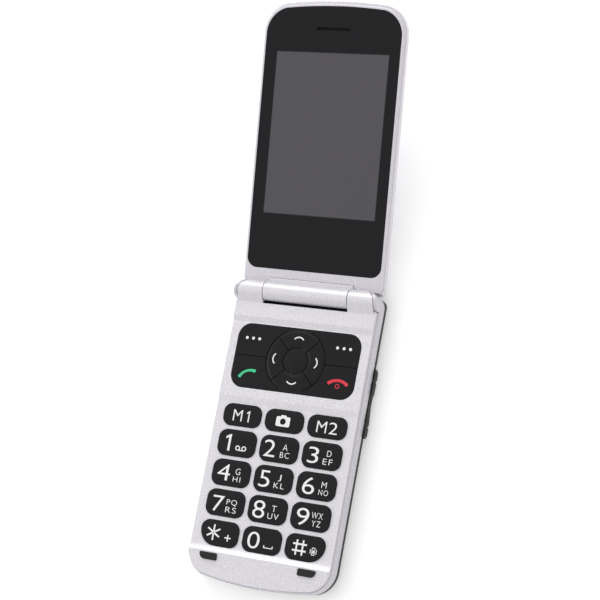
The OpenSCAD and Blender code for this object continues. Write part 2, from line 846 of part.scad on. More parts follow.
module case_screws() {
    color(steel) both_sides() for (y = [screw_low_y, screw_high_y]) translate([screw_x, y, 0]) {
        translate([0, 0, battery_cover_t]) cylinder(r = screw_head_r, h = screw_head_h);
        translate([0, 0, battery_cover_t]) cylinder(r = screw_r, h = screw_tip - battery_cover_t);
    }
}

// ---------------------------------------------------------------- hinge

module hinge_cartridge() {
    color(steel) {
        axis_rod(cartridge_r, knuckle_start, cartridge_end);
        axis_rod(shaft_r, shaft_end, knuckle_start + eps);
    }
}

module hinge_sleeve() {
    color(steel) mirror([1, 0, 0]) difference() {
        axis_rod(sleeve_r, sleeve_end, cartridge_end);
        axis_rod(sleeve_bore, sleeve_end - 1, cartridge_end + 1);
    }
}

// Ribbon from the board up into the left knuckle and along the sleeve
module hinge_ribbon() {
    w = ribbon_w / 2;
    color(ribbon_amber) {
        block(-ribbon_x, -sleeve_end - 2, axis_y - w, axis_y + w, axis_z - ribbon_t / 2,
              axis_z + ribbon_t / 2);
        block(-ribbon_x, ribbon_t - ribbon_x, axis_y - w, axis_y + w, board_top, axis_z);
        block(-ribbon_x, ribbon_t - ribbon_x + 0.6, axis_y - 6.4, axis_y + w, board_top,
              board_top + ribbon_t);
    }
}

// Barrel between the knuckles and the neck that carries the lid
module hinge_barrel() {
    color(silver) difference() {
        union() {
            axis_rod(barrel_r, -barrel_half, barrel_half);
            difference() {
                lid_place() {
                    block(-barrel_half, barrel_half, 0, neck_end, neck_back, neck_z);
                    block(-barrel_half + 0.6, barrel_half - 0.6, 0, tongue_end, lid_floor, tongue_top);
                }
                // the base's end wall rises to the trough below the barrel
                block(-far / 2, far / 2, -far / 2, base_top + moving_gap, -far / 2, wall_top + moving_gap);
            }
        }
        axis_rod(shaft_r + running_gap, shaft_end - 0.5, far);
        mirror([1, 0, 0]) axis_rod(sleeve_r + running_gap, sleeve_end - 0.5, far);
        // way of the ribbon out of the bore, down through the neck and out over the tongue
        lid_place() {
            block(-13.5, -7.5, 0.5, ribbon_turn + 0.4, ribbon_w_top - 0.3, ribbon_w_top + 0.2);
            block(-13.5, -7.5, ribbon_turn - 0.3, ribbon_turn + 0.4, tongue_top, ribbon_w_top + 0.2);
            block(-13.5, -7.5, ribbon_turn - 0.3, far, tongue_top, tongue_top + 0.6);
        }
    }
}

// Space of the base's end wall, which the lid's lower end keeps clear of when fully open
module base_end_room() {
    block(-far / 2, far / 2, -far / 2, base_top + moving_gap, -far / 2, axis_z);
}

module knuckle_room() {
    both_sides() axis_rod(barrel_r + moving_gap, barrel_half - 0.5, far / 2);
    axis_rod(barrel_r + seat_gap, -barrel_half - 1, barrel_half + 1);
}

// ---------------------------------------------------------------- lid

// Neck's own space in the lid's two halves
module neck_room() {
    block(-barrel_half - seat_gap, barrel_half + seat_gap, -far, neck_end + seat_gap, neck_back - seat_gap,
          far);
}

module lid_outer(inset = 0) {
    lid_plan(lid_w, lid_low, lid_l, lid_low_r, lid_corner_r, inset);
}

module lid_cover() {
    color(silver) difference() {
        lid_place() difference() {
            union() {
                difference() {
                    mirror([0, 1, 0]) case_solid(lid_w, -lid_low, -lid_l, lid_low_r, lid_corner_r,
                                                 lid_bow_r, lid_edge_r + 0.5, lid_back, bezel_back)
                        lid_cover_edge();
                    translate([0, 0, lid_floor]) linear_extrude(far) lid_outer(lid_wall_in);
                }
                lid_ribs();
                both_sides() for (y = [lid_screw_low, lid_screw_far])
                    translate([lid_screw_x, y, lid_floor - eps])
                        cylinder(r = lid_boss_r, h = bezel_back - 0.6 - seat_gap - lid_floor);
            }
            neck_room();
            block(0.6 - barrel_half - seat_gap, barrel_half - 0.6 + seat_gap, -far, tongue_end + seat_gap,
                  lid_floor, far);
            both_sides() for (y = [lid_screw_low, lid_screw_far])
                translate([lid_screw_x, y, lid_screw_tip - seat_gap]) cylinder(r = lid_screw_r + 0.02, h = far);
        }
        base_end_room();
        knuckle_room();
    }
}

lid_screw_tip = lid_floor + 0.3;

// Section of the cover's side: a quarter round to the back, a small round at the seam
module lid_cover_edge() {
    seam_r = 0.4;
    difference() {
        translate([-$reach, lid_back]) square([$reach, bezel_back - lid_back]);
        edge_cut(lid_edge_r, lid_back);
        translate([0, bezel_back]) mirror([0, 1]) edge_cut(seam_r, 0);
    }
}

// What a quarter round takes off a profile's outer lower edge
module edge_cut(r, low) {
    difference() {
        translate([-r, low - 1]) square([r + 1, r + 1]);
        translate([-r, low + r]) circle(r);
    }
}

// Low stiffening ribs across the inside of the cover
module lid_ribs() {
    for (y = [30, 50, 70]) block(-22, 22, y - 0.4, y + 0.4, lid_floor - eps, lid_floor + 0.8);
}

module window_plan(inset = 0) {
    lid_plan(window_w, window_low, window_far, window_low_r, window_corner_r, inset);
}

module lid_bezel() {
    bezel_w = lid_w - 2 * bezel_in;
    frame_back = bezel_back - 0.6;
    color(silver) difference() {
        lid_place() difference() {
            union() {
                mirror([0, 1, 0]) case_solid(bezel_w, -lid_low - 0.4, -bezel_far, lid_low_r - 0.5,
                                             lid_corner_r - 0.6, lid_bow_r, 2.2, bezel_back, lid_face)
                    bezel_edge();
                translate([0, 0, frame_back]) linear_extrude(bezel_t) difference() {
                    lid_outer(lid_wall_in + seat_gap);
                    translate([-barrel_half, -far]) square([2 * barrel_half, far + tongue_end + 2.8]);
                }
            }
            // seat of the window, and the display's opening behind it
            translate([0, 0, ledge_z]) linear_extrude(far) window_plan(-window_gap);
            translate([0, 0, -far]) linear_extrude(far) display_opening();
            translate([0, slot_y + 0.9, -far]) linear_extrude(far) square([2 * slot_half + 2, 7.2], center = true);
            neck_room();
            both_sides() for (y = [lid_screw_low, lid_screw_far]) translate([lid_screw_x, y, 0]) {
                translate([0, 0, -far]) cylinder(r = lid_screw_r + seat_gap, h = far);
                translate([0, 0, ledge_z - lid_screw_head_h]) cylinder(r = lid_screw_head_r + seat_gap, h = far);
            }
        }
        base_end_room();
        knuckle_room();
    }
}

module bezel_edge() {
    edge_r = 0.5;
    difference() {
        translate([-$reach, bezel_back]) square([$reach, bezel_t]);
        translate([0, lid_face]) mirror([0, 1]) edge_cut(edge_r, 0);
    }
}

module display_opening() {
    translate([0, screen_y + (module_far - module_low) / 2])
        square([screen_w + 2 * module_side + 0.3, screen_h + module_low + module_far + 0.3], center = true);
}

module lid_window() {
    color(window_black) lid_place() translate([0, 0, ledge_z + glue]) linear_extrude(window_t) difference() {
        window_plan();
        translate([0, slot_y]) soft_rect(2 * slot_half, slot_h, [for (k = [0 : 3]) slot_h / 2 - eps]);
    }
}

module display_module() {
    half_w = screen_w / 2 + module_side;
    low = screen_y - screen_h / 2 - module_low;
    high = screen_y + screen_h / 2 + module_far;
    color(screen_grey) lid_place() {
        block(-half_w, half_w, low, high, ledge_z - module_t, ledge_z - 0.6);
        block(1 - half_w, half_w - 1, low + 1, high - 1, ledge_z - module_t, ledge_z);
    }
}

module earpiece() {
    color(black) lid_place() translate([0, slot_y + 1.2, ledge_z - 2.6]) linear_extrude(2.6)
        soft_rect(14.6, 6.2, [1.5, 1.5, 1.5, 1.5]);
}

module earpiece_mesh() {
    color(steel) lid_place() translate([0, slot_y, ledge_z]) linear_extrude(0.35)
        soft_rect(2 * slot_half - 0.1, slot_h - 0.1, [for (k = [0 : 3]) (slot_h - 0.1) / 2 - eps]);
}

module lid_board() {
    color(board_green) lid_place() difference() {
        block(-20, 20, tongue_end + 0.6, 21, lid_floor + 1.2, lid_floor + 1.8);
        block(-3, 3, 18.5, 22, lid_floor, far);
    }
    color(board_green) lid_place() for (x = [-15, 15])
        translate([x, 14, lid_floor]) cylinder(r = 1.5, h = 1.2);
}

// Ribbon from the barrel's bore under the bezel to the lid's board
module display_ribbon() {
    color(ribbon_amber) lid_place() {
        block(-13, -8, 1.4, ribbon_turn + ribbon_t, ribbon_w_top - ribbon_t, ribbon_w_top);
        block(-13, -8, ribbon_turn, ribbon_turn + ribbon_t, tongue_top + 0.1, ribbon_w_top);
        block(-13, -8, ribbon_turn, tongue_end + 2.4, tongue_top + 0.1, tongue_top + 0.1 + ribbon_t);
        block(-13, -8, tongue_end + 2.4 - ribbon_t, tongue_end + 2.4, lid_floor + 1.8,
              tongue_top + 0.1 + ribbon_t);
    }
}

module lid_magnet() {
    color(steel) lid_place() translate([17, lid_screw_far + 2.5, lid_floor]) cylinder(r = 2, h = 1.5);
}

module lid_screws() {
    color(steel) lid_place() both_sides() for (y = [lid_screw_low, lid_screw_far])
        translate([lid_screw_x, y, 0]) {
            translate([0, 0, ledge_z - lid_screw_head_h])
                cylinder(r = lid_screw_head_r, h = lid_screw_head_h - 0.05);
            translate([0, 0, lid_screw_tip])
                cylinder(r = lid_screw_r, h = ledge_z - lid_screw_head_h - lid_screw_tip + eps);
        }
}

// ---------------------------------------------------------------- keys

// Crowned keycap with a lip under the front cover
module number_key(i, j) {
    h = row_h(j);
    lip_top = floor_z - cover_t - lip_gap;
    long_r = crown_radius(h / 2, key_crown);
    wide_r = crown_radius(key_w / 2, key_crown * 0.6);
    color(black) {
        intersection() {
            translate([0, 0, stem_z]) linear_extrude(key_top - stem_z) key_plan(i, j);
            translate([-far / 2, row_y(j), key_top - long_r]) rotate([0, 90, 0])
                cylinder(r = long_r, h = far, $fn = 256);
            translate([column_x(i), far / 2, key_top - wide_r]) rotate([90, 0, 0])
                cylinder(r = wide_r, h = 2 * far, $fn = 512);
        }
        translate([0, 0, stem_z]) linear_extrude(lip_top - stem_z) key_plan(i, j, lip_w);
    }
}

// One key of the black panel from its outline: body, and a lip under the panel's edge
module panel_key(top) {
    lip_top = panel_z - cover_t - lip_gap;
    translate([0, 0, stem_z]) linear_extrude(top - stem_z) intersection() {
        panel_plan();
        children();
    }
    translate([0, 0, stem_z]) linear_extrude(lip_top - stem_z) intersection() {
        panel_plan(lip_w);
        children();
    }
}

corner_top = panel_z - 0.05;
ring_top = panel_z + 0.1;
ring_flat = 4.8;        // half width where the direction keys reach the panel's edge

module corner_key(sx, sy) {
    s = panel_seam / 2;
    color(black) panel_key(corner_top) difference() {
        translate([sx > 0 ? ring_flat + s : -far, sy > 0 ? panel_y + s : panel_y - far])
            square([far - ring_flat * (sx > 0 ? 0 : 1) - s * (sx > 0 ? 0 : 1), far - s]);
        translate([0, panel_y]) circle(ring_r + panel_seam);
    }
}

// One quarter of the ring, facing angle a, with a sloped inner and outer edge
module direction_key(a) {
    s = panel_seam / 2;
    color(black) {
        translate([0, panel_y, 0]) intersection() {
            rotate_extrude() polygon([
                [ok_r + panel_seam, stem_z], [ring_r, stem_z], [ring_r, ring_top - 0.2],
                [ring_r - 1, ring_top], [ok_r + panel_seam + 1, ring_top],
                [ok_r + panel_seam, ring_top - 0.2]
            ]);
            linear_extrude(far) quarter(a, s, far);
        }
        if (a % 180 == 90) panel_key(corner_top) translate([0, panel_y]) intersection() {
            quarter(a, s, far);
            difference() {
                square([2 * ring_flat, far], center = true);
                circle(ring_r - 1);
            }
        }
    }
}

// Quarter plane facing angle a, in from its two diagonals by s
module quarter(a, s, size) {
    rotate([0, 0, a - 45]) translate([s, s]) square(size);
}

module centre_key() {
    crown_r = crown_radius(ok_r, 0.25);
    color(black) translate([0, panel_y, 0]) intersection() {
        translate([0, 0, stem_z]) cylinder(r = ok_r, h = far);
        translate([0, 0, ring_top - crown_r]) sphere(r = crown_r, $fn = 180);
    }
}

// ---------------------------------------------------------------- nodes

rear_housing();
mid_frame();
front_cover();
battery_cover();
battery();
battery_contacts();
main_board();
dome_sheet();
sim_holder();
charge_socket();
microphone();
loudspeaker();
vibration_motor();
antenna();
camera_module();
camera_window();
rocker_switches();
volume_rocker();
lid_bumpers();
case_screws();
hinge_cartridge();
hinge_sleeve();
hinge_ribbon();
number_key(0, 0);  // key_m1
number_key(1, 0);  // key_camera
number_key(2, 0);  // key_m2
number_key(0, 1);  // key_1
number_key(1, 1);  // key_2
number_key(2, 1);  // key_3
number_key(0, 2);  // key_4
number_key(1, 2);  // key_5
number_key(2, 2);  // key_6
number_key(0, 3);  // key_7
number_key(1, 3);  // key_8
number_key(2, 3);  // key_9
number_key(0, 4);  // key_star
number_key(1, 4);  // key_0
number_key(2, 4);  // key_hash
corner_key(-1, 1);  // key_soft_left
corner_key(1, 1);  // key_soft_right
corner_key(-1, -1);  // key_call
corner_key(1, -1);  // key_end
direction_key(90);  // key_up
direction_key(270);  // key_down
direction_key(180);  // key_left
direction_key(0);  // key_right
centre_key();  // key_ok
hinge_barrel();
lid_bezel();
lid_cover();
lid_window();
display_module();
earpiece();
earpiece_mesh();
lid_board();
display_ribbon();
lid_magnet();
lid_screws();
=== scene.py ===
import json
import math

import bmesh
import bpy
import numpy as np
from mathutils import Matrix, Vector


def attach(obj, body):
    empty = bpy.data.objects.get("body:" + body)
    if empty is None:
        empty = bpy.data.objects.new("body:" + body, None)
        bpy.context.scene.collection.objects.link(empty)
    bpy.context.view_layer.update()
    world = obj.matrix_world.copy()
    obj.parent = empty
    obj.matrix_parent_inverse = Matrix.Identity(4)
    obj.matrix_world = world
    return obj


mm = 0.001

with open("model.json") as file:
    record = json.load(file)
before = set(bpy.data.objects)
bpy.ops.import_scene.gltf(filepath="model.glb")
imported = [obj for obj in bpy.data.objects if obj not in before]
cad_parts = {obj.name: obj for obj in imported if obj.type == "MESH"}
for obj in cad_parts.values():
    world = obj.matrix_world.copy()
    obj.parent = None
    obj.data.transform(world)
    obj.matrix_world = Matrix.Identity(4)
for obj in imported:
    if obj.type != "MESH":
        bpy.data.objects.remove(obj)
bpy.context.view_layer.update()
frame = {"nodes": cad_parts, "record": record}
print("frame loaded", len(frame["nodes"]), "nodes")

# Places shared with the CAD part, in millimetres, measured along Y from the hinge axis
hinge = {"y": 50.2, "z": 10.3, "tilt": math.radians(13.9)}
panel = {"y": 50.2 - 23.85, "cornerTop": 10.35, "ringTop": 10.5}
keypad = {"pitchX": 16.28, "pitchY": 10.6, "shortY": 50.2 - 45.3, "firstY": 50.2 - 55.25,
          "width": 14.5, "height": 9.1, "shortHeight": 7.7, "lastRowCut": 0.4,
          "top": 10.5, "crown": 0.3, "wideShare": 0.6}


# Colour and shader helpers

def toLinear(hexCode):
    parts = [int(hexCode[i:i + 2], 16) / 255 for i in (1, 3, 5)]
    return [c / 12.92 if c <= 0.04045 else ((c + 0.055) / 1.055) ** 2.4 for c in parts] + [1.0]


def addNode(material, kind, inputs=None, **settings):
    node = material.node_tree.nodes.new(kind)
    for name, value in settings.items():
        setattr(node, name, value)
    for name, value in (inputs or {}).items():
        if isinstance(value, bpy.types.NodeSocket):
            material.node_tree.links.new(value, node.inputs[name])
        else:
            node.inputs[name].default_value = value
    return node


def makeMaterial(name, hexCode, roughness, metallic=0.0, **sockets):
    material = bpy.data.materials.new(name)
    material.use_nodes = True
    shader = material.node_tree.nodes["Principled BSDF"]
    shader.inputs["Base Color"].default_value = toLinear(hexCode)
    shader.inputs["Roughness"].default_value = roughness
    shader.inputs["Metallic"].default_value = metallic
    for socket, value in sockets.items():
        shader.inputs[socket.replace("_", " ")].default_value = value
    return material


# Bump from noise whose grain is a real size: scale = 1 / (grain in metres)
def addGrain(material, grainMm, heightMm, strength=1.0, detail=2.0):
    shader = material.node_tree.nodes["Principled BSDF"]
    place = addNode(material, "ShaderNodeTexCoord")
    noise = addNode(material, "ShaderNodeTexNoise",
                    {"Vector": place.outputs["Object"], "Scale": 1 / (grainMm * mm), "Detail": detail})
    bump = addNode(material, "ShaderNodeBump",
                   {"Height": noise.outputs["Fac"], "Distance": heightMm * mm, "Strength": strength})
    material.node_tree.links.new(bump.outputs["Normal"], shader.inputs["Normal"])
    return noise


# Colour varied between two shades by the same noise
def addShade(material, noise, darkHex, lightHex, low=0.35, high=0.65):
    shader = material.node_tree.nodes["Principled BSDF"]
    ramp = addNode(material, "ShaderNodeValToRGB", {"Fac": noise.outputs["Fac"]})
    ramp.color_ramp.elements[0].position = low
    ramp.color_ramp.elements[0].color = toLinear(darkHex)
    ramp.color_ramp.elements[1].position = high
    ramp.color_ramp.elements[1].color = toLinear(lightHex)
    material.node_tree.links.new(ramp.outputs["Color"], shader.inputs["Base Color"])


paints = {"silver_paint": ("#D6D3D9", "#F1EFF4"), "band_paint": ("#C2BFC6", "#DCD9E0"),
          "bezel_paint": ("#CCC8CF", "#E6E2E9")}


def makeMaterials():
    made = {}
    # Fine metallic paint under clear lacquer on moulded plastic: a pale silver with a quiet sparkle
    for slot, (dark, light) in paints.items():
        paint = makeMaterial("metallic_paint_" + slot, light, 0.38, 0.25, Coat_Weight=0.2,
                             Coat_Roughness=0.15)
        addShade(paint, addGrain(paint, 0.25, 0.004, 0.6), dark, light, 0.4, 0.6)
        made[slot] = paint
    # Spark-eroded plastic: a dull black that breaks up its highlights
    housing = makeMaterial("textured_black_plastic", "#19191B", 0.55, Specular_IOR_Level=0.35)
    addGrain(housing, 0.25, 0.012, 0.6)
    made["housing_black"] = housing
    made["inner_black"] = housing
    # Satin moulded keys: deep black with a broad soft sheen
    keys = makeMaterial("satin_key_plastic", "#131315", 0.42, Specular_IOR_Level=0.25)
    addGrain(keys, 0.18, 0.003, 0.5)
    made["key_black"] = keys
    # Smoother moulded panel keys: a slightly tighter sheen than the number keys
    panelPlastic = makeMaterial("satin_panel_plastic", "#141416", 0.34, Specular_IOR_Level=0.25)
    addGrain(panelPlastic, 0.18, 0.002, 0.4)
    made["panel_black"] = panelPlastic
    # Moulded rubber pads: no highlight to speak of
    rubber = makeMaterial("moulded_rubber", "#141414", 0.75)
    addGrain(rubber, 0.3, 0.01, 0.5)
    made["rubber_black"] = rubber
    # Polished acrylic with a printed mask: the one sharp reflection on the phone
    made["window_acrylic"] = makeMaterial("tinted_acrylic", "#232124", 0.05, Specular_IOR_Level=0.25)
    # Inner pieces: each reads as its own stuff when the case is opened
    made["display_glass"] = makeMaterial("display_polarizer", "#57555A", 0.2)
    made["steel"] = makeMaterial("rolled_steel", "#B4B4B6", 0.35, 1.0)
    made["mesh_steel"] = makeMaterial("blackened_mesh", "#0C0C0D", 0.6, 0.6)
    made["gold_contact"] = makeMaterial("gold_plate", "#D9B872", 0.3, 1.0)
    made["circuit_board"] = makeMaterial("solder_resist", "#0F5A35", 0.4)
    made["ribbon_film"] = makeMaterial("polyimide_film", "#B5701E", 0.3)
    made["battery_case"] = makeMaterial("wrapped_cell", "#5B6068", 0.45, 0.3)
    return made


materials = makeMaterials()
# Screen-printed ink: flat colour that stays legible beside the keys' sheen
whiteInk = makeMaterial("white_legend_ink", "#EDEDEE", 0.45)
greenInk = makeMaterial("green_legend_ink", "#3CC88C", 0.45)
redInk = makeMaterial("red_legend_ink", "#D73241", 0.45)
print("materials", len(materials) + 3)


# CAD nodes with their materials and broken edges

bevelWidths = {"front_cover": 0.25, "mid_frame": 0.12, "rear_housing": 0.2, "battery_cover": 0.2,
               "lid_bezel": 0.15, "lid_cover": 0.2, "hinge_barrel": 0.25, "lid_bumpers": 0.3,
               "volume_rocker": 0.25, "hinge_cartridge": 0.1}
creaseAngle = 11  # degrees: more than one facet of a curve, less than the cover's lowest step


# Marks each rim between two CAD faces whose normals differ by more than the crease angle
def markCreases(mesh):
    points = np.zeros(len(mesh.vertices) * 3)
    mesh.vertices.foreach_get("co", points)
    place = np.unique(np.round(points.reshape(-1, 3) / 1e-7), axis=0, return_inverse=True)[1].ravel()
    ends = np.zeros(len(mesh.edges) * 2, int)
    mesh.edges.foreach_get("vertices", ends)
    ends = np.sort(place[ends.reshape(-1, 2)], axis=1)
    edgeKey = ends[:, 0] * len(place) + ends[:, 1]
    loopEdge = np.zeros(len(mesh.loops), int)
    mesh.loops.foreach_get("edge_index", loopEdge)
    sides = np.zeros(len(mesh.polygons), int)
    mesh.polygons.foreach_get("loop_total", sides)
    normals = np.zeros(len(mesh.polygons) * 3)
    mesh.polygons.foreach_get("normal", normals)
    loopNormal = np.repeat(normals.reshape(-1, 3), sides, axis=0)
    order = np.argsort(edgeKey[loopEdge], kind="stable")
    first, second = order[:-1], order[1:]
    same = edgeKey[loopEdge[first]] == edgeKey[loopEdge[second]]
    apart = loopEdge[first] != loopEdge[second]
    bent = (loopNormal[first] * loopNormal[second]).sum(1) < math.cos(math.radians(creaseAngle))
    hit = same & apart & bent
    flags = np.zeros(len(mesh.edges), bool)
    flags[loopEdge[first[hit]]] = flags[loopEdge[second[hit]]] = True
    for label, kind in (("sharp_edge", "BOOLEAN"), ("bevel_weight_edge", "FLOAT")):
        mark = mesh.attributes.get(label) or mesh.attributes.new(label, kind, "EDGE")
        mark.data.foreach_set("value", flags if kind == "BOOLEAN" else flags.astype(float))


def dressNodes():
    slots = {row["node"]: row["material_slot"] for row in frame["record"]["subparts"]}
    for name, node in frame["nodes"].items():
        node.data.materials.clear()
        node.data.materials.append(materials[slots[name]])
        width = bevelWidths.get(name, 0.15 if name.startswith("key_") else 0.0)
        node.data.polygons.foreach_set("use_smooth", np.ones(len(node.data.polygons), bool))
        if width:
            markCreases(node.data)
            weld = node.modifiers.new("weld", "WELD")
            weld.merge_threshold = 1e-6
            bevel = node.modifiers.new("bevel", "BEVEL")
            bevel.width = width * mm
            bevel.segments = 3
            bevel.limit_method = "WEIGHT"
            bevel.use_clamp_overlap = True
            normals = node.modifiers.new("normals", "WEIGHTED_NORMAL")  # keeps the flats flat between bevels
            normals.weight = 100
            normals.keep_sharp = True
        else:
            edges = node.modifiers.new("smooth", "EDGE_SPLIT")
            edges.split_angle = math.radians(30)


dressNodes()
print("nodes dressed")


# Flat marks laid on a surface

# Surface height in millimetres over a key at (x, y) from its middle: crown along Y and a weaker one
# along X, each an arc whose fall is distance squared over twice its radius
def crownHeight(x, y, halfHeight, halfWidth, rise, top):
    longRadius = (halfHeight ** 2 + rise ** 2) / (2 * rise)
    wideRise = rise * keypad["wideShare"]
    wideRadius = (halfWidth ** 2 + wideRise ** 2) / (2 * wideRise)
    return np.minimum(top - longRadius + np.sqrt(longRadius ** 2 - y ** 2),
                      top - wideRadius + np.sqrt(wideRadius ** 2 - x ** 2))


def meshFromText(text):
    curve = bpy.data.curves.new("letter", "FONT")
    curve.body = text
    curve.resolution_u = 6
    curve.offset = -0.006
    curve.space_character = 1.2
    letter = bpy.data.objects.new("letter", curve)
    mesh = bpy.data.meshes.new_from_object(letter)
    bpy.data.objects.remove(letter)
    shape = bmesh.new()
    shape.from_mesh(mesh)
    bpy.data.meshes.remove(mesh)
    return shape


# Figure 1: an upright with a flag, as one outline
def figureOne():
    shape = bmesh.new()
    outline = ((0.46, 0), (0.8, 0), (0.8, 2), (0.6, 2), (0, 1.7), (0, 1.4), (0.46, 1.63))
    shape.faces.new([shape.verts.new((x, y, 0)) for x, y in outline])
    return shape


def fitShape(shape, box):
    points = np.array([v.co for v in shape.verts])
    low, high = points.min(0), points.max(0)
    x0, x1, y0, y1 = box
    for v in shape.verts:
        v.co = Vector((x0 + (v.co.x - low[0]) / (high[0] - low[0]) * (x1 - x0),
                       y0 + (v.co.y - low[1]) / (high[1] - low[1]) * (y1 - y0), 0))
    return shape


# Strip of constant width along a path of points, which may close on itself
def strokeShape(shape, path, width, closed=False):
    path = np.array(path, float)
    ahead = np.roll(path, -1, 0) - path
    behind = path - np.roll(path, 1, 0)
    if not closed:
        ahead[-1], behind[0] = behind[-1], ahead[0]
    along = ahead / np.linalg.norm(ahead, axis=1)[:, None] + behind / np.linalg.norm(behind, axis=1)[:, None]
    along /= np.linalg.norm(along, axis=1)[:, None]
    side = np.stack([-along[:, 1], along[:, 0]], 1) * width / 2
    left = [shape.verts.new((*p, 0)) for p in path + side]
    right = [shape.verts.new((*p, 0)) for p in path - side]
    count = len(path)
    for i in range(count if closed else count - 1):
        j = (i + 1) % count
        shape.faces.new((left[i], right[i], right[j], left[j]))
    return shape


def discShape(shape, x, y, radius, count=32):
    turn = np.linspace(0, 2 * math.pi, count, endpoint=False)
    shape.faces.new([shape.verts.new((x + radius * math.cos(a), y + radius * math.sin(a), 0)) for a in turn])
    return shape


def arcPath(x, y, radius, start, stop, count=24):
    turn = np.radians(np.linspace(start, stop, count))
    return np.stack([x + radius * np.cos(turn), y + radius * np.sin(turn)], 1)


# Cuts the shape into narrow bands so that it can follow a curved key
def cutBands(shape, step=0.6):
    for axis in (0, 1):
        values = [v.co[axis] for v in shape.verts]
        place = math.ceil(min(values) / step) * step
        while place < max(values):
            point = Vector((0, 0, 0))
            point[axis] = place
            normal = Vector((0, 0, 0))
            normal[axis] = 1
            bmesh.ops.bisect_plane(shape, geom=shape.verts[:] + shape.edges[:] + shape.faces[:],
                                   plane_co=point, plane_no=normal)
            place += step


def layMark(name, shape, body, ink, height, lift=0.02, bands=True):
    if bands:
        cutBands(shape)
    bmesh.ops.triangulate(shape, faces=shape.faces[:])
    bmesh.ops.recalc_face_normals(shape, faces=shape.faces[:])
    mesh = bpy.data.meshes.new(name)
    shape.to_mesh(mesh)
    shape.free()
    points = np.zeros(len(mesh.vertices) * 3)
    mesh.vertices.foreach_get("co", points)
    points = points.reshape(-1, 3)
    points[:, 2] = height(points[:, 0], points[:, 1]) + lift
    mesh.vertices.foreach_set("co", (points * mm).ravel())
    mesh.update()
    if mesh.polygons and sum(p.normal.z for p in mesh.polygons) < 0:
        mesh.flip_normals()
    mesh.materials.append(ink)
    mark = bpy.data.objects.new(name, mesh)
    bpy.context.scene.collection.objects.link(mark)
    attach(mark, body)
    return mark


# Number key legends, boxes in millimetres from each key's middle: x0, x1, y0, y1

def keyMiddle(column, row):
    y = keypad["shortY"] if row == 0 else keypad["firstY"] - (row - 1) * keypad["pitchY"]
    return (column - 1) * keypad["pitchX"], y


legendBoxes = {
    "key_m1": (0, 0, [("M", -3.3, 0.2, -2.2, 1.8), ("1", 1.9, 3.0, -2.2, 1.8)]),
    "key_m2": (2, 0, [("M", -3.7, 0.0, -2.2, 1.8), ("2", 0.9, 4.1, -2.3, 1.8)]),
    "key_1": (0, 1, [("1", -4.3, -2.3, -3.0, 2.9)]),
    "key_2": (1, 1, [("2", -5.6, -1.2, -3.0, 2.9),
                     ("A", 1.6, 3.4, -0.2, 2.0), ("BC", 0.9, 4.4, -2.8, -0.8)]),
    "key_3": (2, 1, [("3", -5.05, -1.0, -3.0, 2.6),
                     ("D", 1.95, 3.6, -0.1, 2.0), ("EF", 0.85, 4.4, -2.9, -0.9)]),
    "key_4": (0, 2, [("4", -5.1, -0.2, -2.8, 2.9),
                     ("G", 1.8, 3.6, -0.3, 1.9), ("HI", 1.2, 4.1, -2.8, -1.0)]),
    "key_5": (1, 2, [("5", -5.2, -1.1, -3.0, 2.8),
                     ("J", 1.9, 3.1, -0.3, 2.0), ("KL", 0.7, 4.6, -2.8, -0.9)]),
    "key_6": (2, 2, [("6", -4.95, -0.4, -3.1, 2.8),
                     ("M", 2.05, 3.9, -0.3, 1.8), ("NO", 1.35, 4.9, -2.8, -0.9)]),
    "key_7": (0, 3, [("7", -4.8, -0.4, -3.2, 2.3),
                     ("PQ", 0.6, 4.6, -0.7, 1.5), ("RS", 0.6, 4.7, -3.1, -1.1)]),
    "key_8": (1, 3, [("8", -5.35, -0.8, -3.2, 2.9),
                     ("T", 1.7, 3.4, -0.3, 1.8), ("UV", 0.55, 4.7, -2.9, -0.9)]),
    "key_9": (2, 3, [("9", -5.1, -0.4, -3.2, 2.7),
                     ("WX", 0.45, 4.6, -0.3, 1.8), ("YZ", 0.9, 4.2, -3.0, -1.0)]),
    "key_star": (0, 4, []),
    "key_0": (1, 4, [("0", -5.2, -0.6, -3.1, 2.6)]),
    "key_hash": (2, 4, []),
    "key_camera": (1, 0, []),
}


def joinShapes(shapes):
    whole = bmesh.new()
    for shape in shapes:
        mesh = bpy.data.meshes.new("part")
        shape.to_mesh(mesh)
        shape.free()
        whole.from_mesh(mesh)
        bpy.data.meshes.remove(mesh)
    return whole


# Signs drawn as strokes, in millimetres from each key's middle: path, width, closed
starTurns = np.radians([0, 60, 120, 180, 240, 300])
signStrokes = {
    # voicemail: two loops on a line
    "key_1": [(arcPath(0.8, -1.65, 0.72, 0, 345), 0.4, True),
              (arcPath(3.2, -1.65, 0.72, 0, 345), 0.4, True),
              ([(0.8, -2.37), (3.2, -2.37)], 0.4, False)],
    # six arms from the middle, and a plus
    "key_star": [([(-2.15 + reach * math.sin(a), 0.1 + reach * math.cos(a)) for reach in (0.2, 2.75)],
                  0.58, False) for a in starTurns]
                + [([(2.4, -1.15), (4.7, -1.15)], 0.45, False), ([(3.55, -2.3), (3.55, 0.0)], 0.45, False)],
    # space
    "key_0": [([(1.3, -1.4), (1.3, -2.2), (4.5, -2.2), (4.5, -1.4)], 0.42, False)],
    # square hash, and a small phone between two waves
    "key_hash": [([(-3.0, -2.7), (-3.0, 2.5)], 0.6, False), ([(-0.7, -2.7), (-0.7, 2.5)], 0.6, False),
                 ([(-4.45, 1.05), (0.75, 1.05)], 0.6, False), ([(-4.45, -1.2), (0.75, -1.2)], 0.6, False),
                 ([(2.9, -1.9), (3.9, -1.9), (3.9, 0.5), (2.9, 0.5)], 0.32, True),
                 ([(3.4, -1.4), (3.4, -0.3)], 0.5, False),
                 ([(2.3, -1.5), (2.3, 0.1)], 0.24, False), ([(4.5, -1.5), (4.5, 0.1)], 0.24, False)],
}
